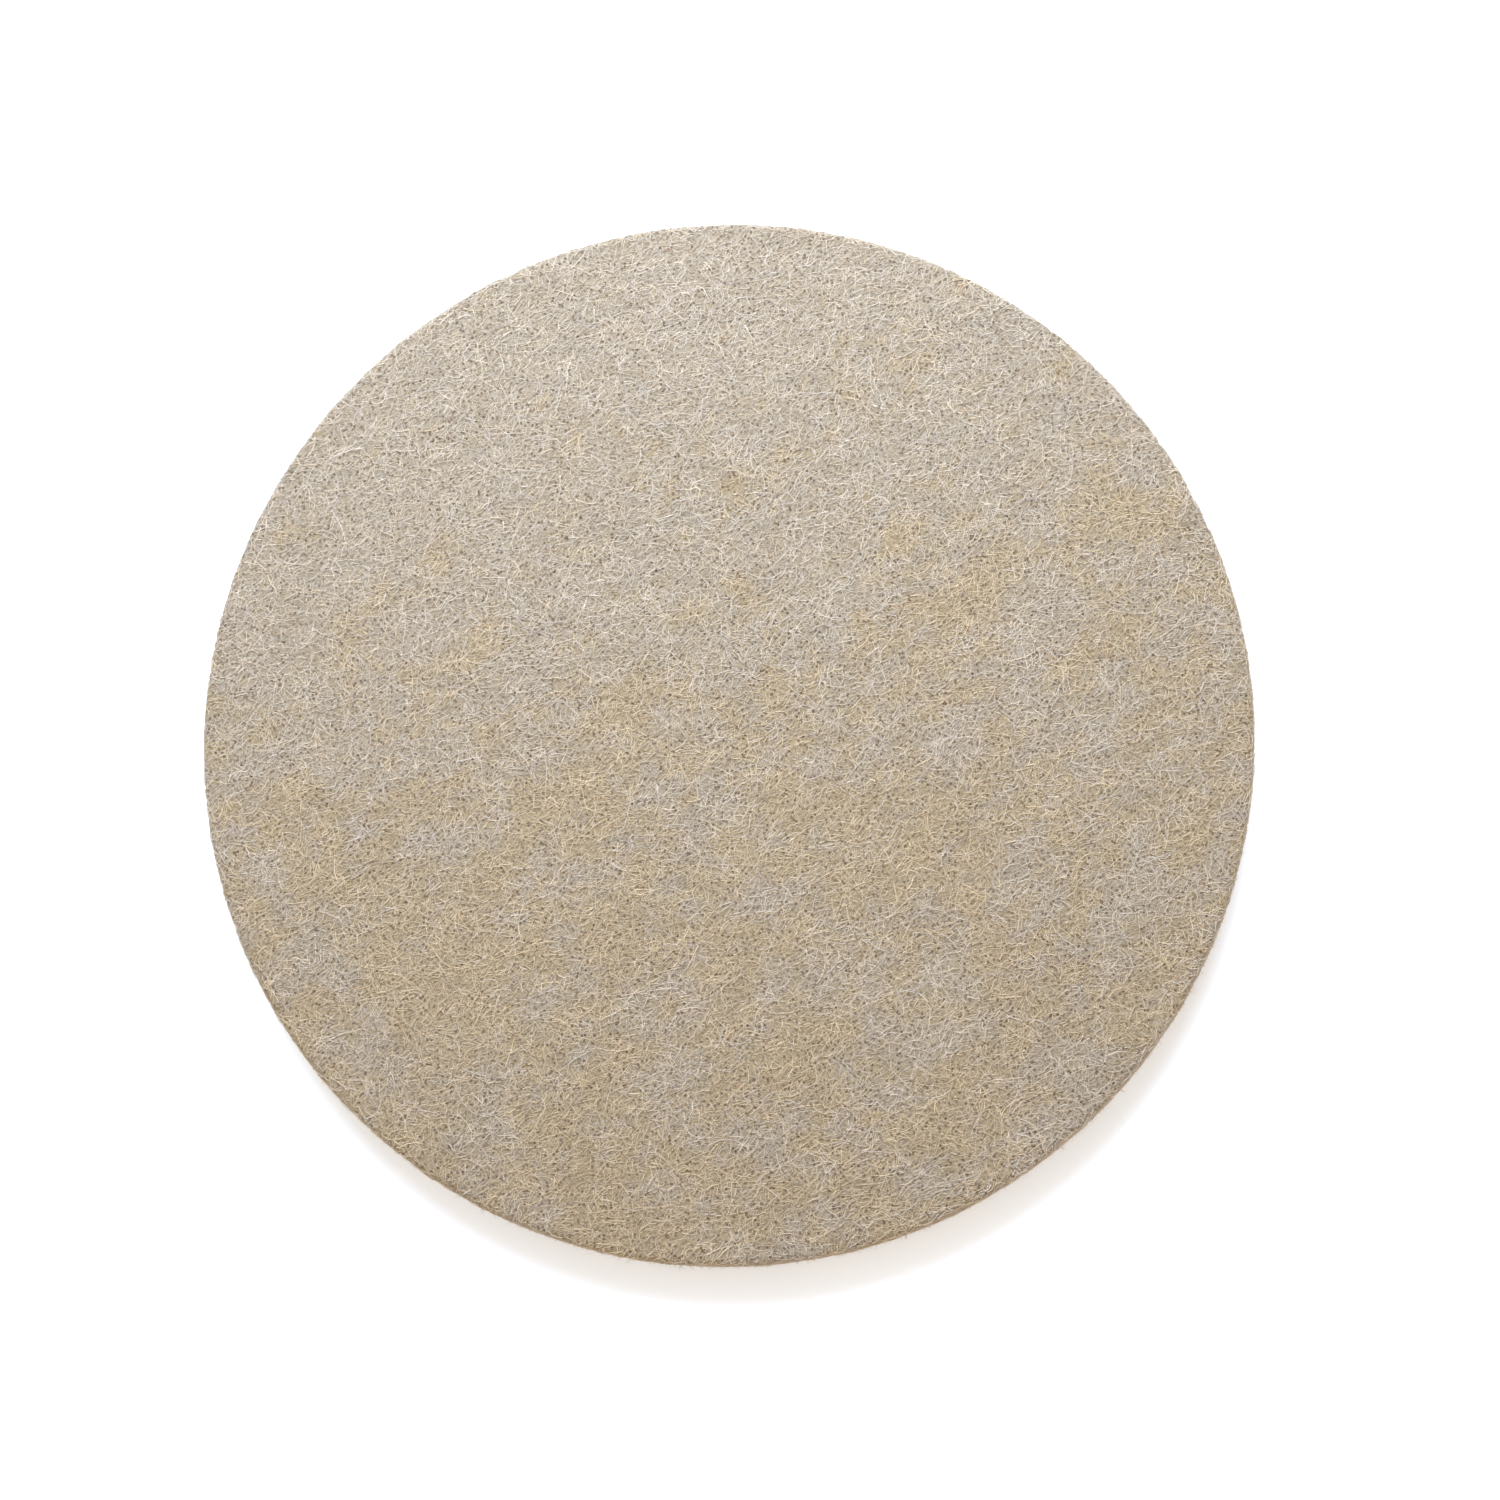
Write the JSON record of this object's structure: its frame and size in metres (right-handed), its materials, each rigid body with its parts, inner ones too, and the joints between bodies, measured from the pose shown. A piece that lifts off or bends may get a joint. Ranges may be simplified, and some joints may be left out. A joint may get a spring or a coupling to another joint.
{
  "type": "felt polishing disc",
  "caption": "Flat round wool felt polishing disc with a self-adhesive back and a release liner split in two halves, for a lapidary flat lap.",
  "frame": {"origin": "centre of the disc on its underside, where the release liner rests on a surface", "axes": "+Z is the disc's axis, out of the polishing face; the slit between the two liner halves runs along Y"},
  "size_m": [0.1524, 0.1524, 0.0099],
  "materials": {
    "wool_felt": "matte undyed pressed wool with a loose nap of cream, grey and straw fibres",
    "acrylic_adhesive": "clear, slightly amber and tacky",
    "polyester_film": "clear glossy film",
    "siliconed_paper": "kraft paper with a thin silicone gloss"
  },
  "bodies": {
    "pad": {"felt_disc": "wool_felt", "felt_side_adhesive": "acrylic_adhesive", "carrier_film": "polyester_film", "plate_side_adhesive": "acrylic_adhesive"},
    "liner_left": {"release_liner_left": "siliconed_paper"},
    "liner_right": {"release_liner_right": "siliconed_paper"}
  },
  "joints": [
    {"name": "liner_left_peel", "type": "slide", "parent": "pad", "child": "liner_left", "axis": [-1, 0, 0], "range_m": [0, 0.08]},
    {"name": "liner_right_peel", "type": "slide", "parent": "pad", "child": "liner_right", "axis": [1, 0, 0], "range_m": [0, 0.08]}
  ]
}
